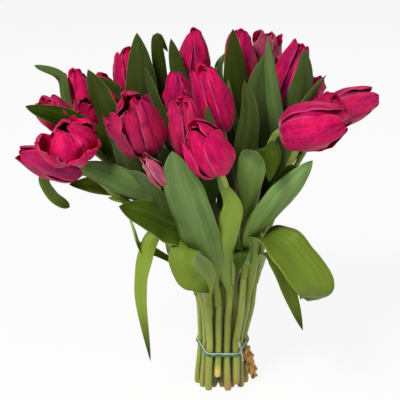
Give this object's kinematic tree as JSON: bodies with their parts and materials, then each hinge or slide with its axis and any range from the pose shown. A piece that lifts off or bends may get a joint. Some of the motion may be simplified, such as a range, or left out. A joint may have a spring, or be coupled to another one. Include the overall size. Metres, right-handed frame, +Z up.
{
  "type": "tied bunch of cut tulips",
  "caption": "Bunch of cut cerise tulips with long green leaves, tied round the stems with two thin cords and standing on its cut ends.",
  "frame": {"origin": "centre of the cut end of the middle stem, on the surface that the bunch stands on", "axes": "+Z up along the bunch, +X to the right and -Y towards somebody who looks at its front"},
  "size_m": [0.3507, 0.281, 0.3801],
  "materials": {
    "petal": "soft satin petal",
    "leaf": "waxy leaf and stem",
    "teal_cord": "matt twisted string",
    "white_cord": "matt twisted string",
    "husk": "dry and papery"
  },
  "bodies": {
    "root": {"bloom_back_far_left": "petal", "bloom_back_left": "petal", "bloom_back_middle": "petal", "bloom_back_middle_right": "petal", "bloom_back_right": "petal", "bloom_back_top": "petal", "bloom_far_left": "petal", "bloom_far_right": "petal", "bloom_front_left_open": "petal", "bloom_front_low": "petal", "bloom_front_right": "petal", "bloom_front_ruffled": "petal", "bloom_left_behind": "petal", "bloom_left_dark": "petal", "bloom_left_open": "petal", "bloom_left_tucked": "petal", "bloom_left_upright": "petal", "bloom_middle_bud": "petal", "bloom_right_leaning": "petal", "bloom_right_open": "petal", "bloom_right_tucked": "petal", "bloom_split": "petal", "bloom_tall_middle": "petal", "bloom_top": "petal", "bloom_upper_left": "petal", "bloom_upper_right": "petal", "bloom_young_bud": "petal", "cord_teal": "teal_cord", "cord_white": "white_cord", "dry_husk": "husk", "stem_back_far_left": "leaf", "stem_back_left": "leaf", "stem_back_middle": "leaf", "stem_back_middle_right": "leaf", "stem_back_right": "leaf", "stem_back_top": "leaf", "stem_far_left": "leaf", "stem_far_right": "leaf", "stem_front_left_open": "leaf", "stem_front_low": "leaf", "stem_front_right": "leaf", "stem_front_ruffled": "leaf", "stem_left_behind": "leaf", "stem_left_dark": "leaf", "stem_left_open": "leaf", "stem_left_tucked": "leaf", "stem_left_upright": "leaf", "stem_middle_bud": "leaf", "stem_right_leaning": "leaf", "stem_right_open": "leaf", "stem_right_tucked": "leaf", "stem_split": "leaf", "stem_tall_middle": "leaf", "stem_top": "leaf", "stem_upper_left": "leaf", "stem_upper_right": "leaf", "stem_young_bud": "leaf"}
  },
  "joints": []
}
